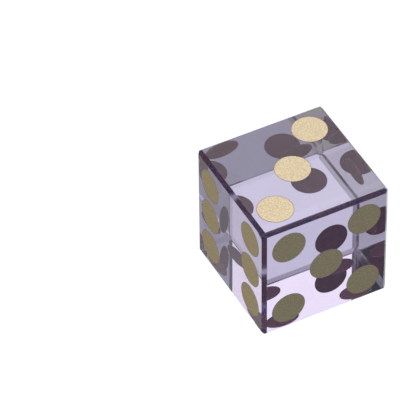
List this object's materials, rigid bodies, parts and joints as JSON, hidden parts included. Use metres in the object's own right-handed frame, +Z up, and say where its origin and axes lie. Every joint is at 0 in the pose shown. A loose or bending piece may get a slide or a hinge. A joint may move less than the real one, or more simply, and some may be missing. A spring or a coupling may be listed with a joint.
{
  "type": "casino die",
  "caption": "Transparent violet precision die: a sharp bevelled cube with flush round gold pips over dark grounds, thrown in casino and board games.",
  "frame": {"origin": "centre of the four face, which the die stands on", "axes": "+Z up out of the three face, -Y out of the five face, -X out of the six face, +Y out of the two face, +X out of the one face"},
  "size_m": [0.019, 0.019, 0.0191],
  "materials": {
    "clear_violet": "polished",
    "dark_ground": "satin",
    "gold_pip": "satin"
  },
  "bodies": {
    "root": {"die_body": "clear_violet", "dark_ground_one_1": "dark_ground", "gold_disc_one_1": "gold_pip", "dark_ground_two_1": "dark_ground", "gold_disc_two_1": "gold_pip", "dark_ground_two_2": "dark_ground", "gold_disc_two_2": "gold_pip", "dark_ground_three_1": "dark_ground", "gold_disc_three_1": "gold_pip", "dark_ground_three_2": "dark_ground", "gold_disc_three_2": "gold_pip", "dark_ground_three_3": "dark_ground", "gold_disc_three_3": "gold_pip", "dark_ground_four_1": "dark_ground", "gold_disc_four_1": "gold_pip", "dark_ground_four_2": "dark_ground", "gold_disc_four_2": "gold_pip", "dark_ground_four_3": "dark_ground", "gold_disc_four_3": "gold_pip", "dark_ground_four_4": "dark_ground", "gold_disc_four_4": "gold_pip", "dark_ground_five_1": "dark_ground", "gold_disc_five_1": "gold_pip", "dark_ground_five_2": "dark_ground", "gold_disc_five_2": "gold_pip", "dark_ground_five_3": "dark_ground", "gold_disc_five_3": "gold_pip", "dark_ground_five_4": "dark_ground", "gold_disc_five_4": "gold_pip", "dark_ground_five_5": "dark_ground", "gold_disc_five_5": "gold_pip", "dark_ground_six_1": "dark_ground", "gold_disc_six_1": "gold_pip", "dark_ground_six_2": "dark_ground", "gold_disc_six_2": "gold_pip", "dark_ground_six_3": "dark_ground", "gold_disc_six_3": "gold_pip", "dark_ground_six_4": "dark_ground", "gold_disc_six_4": "gold_pip", "dark_ground_six_5": "dark_ground", "gold_disc_six_5": "gold_pip", "dark_ground_six_6": "dark_ground", "gold_disc_six_6": "gold_pip"}
  },
  "joints": []
}
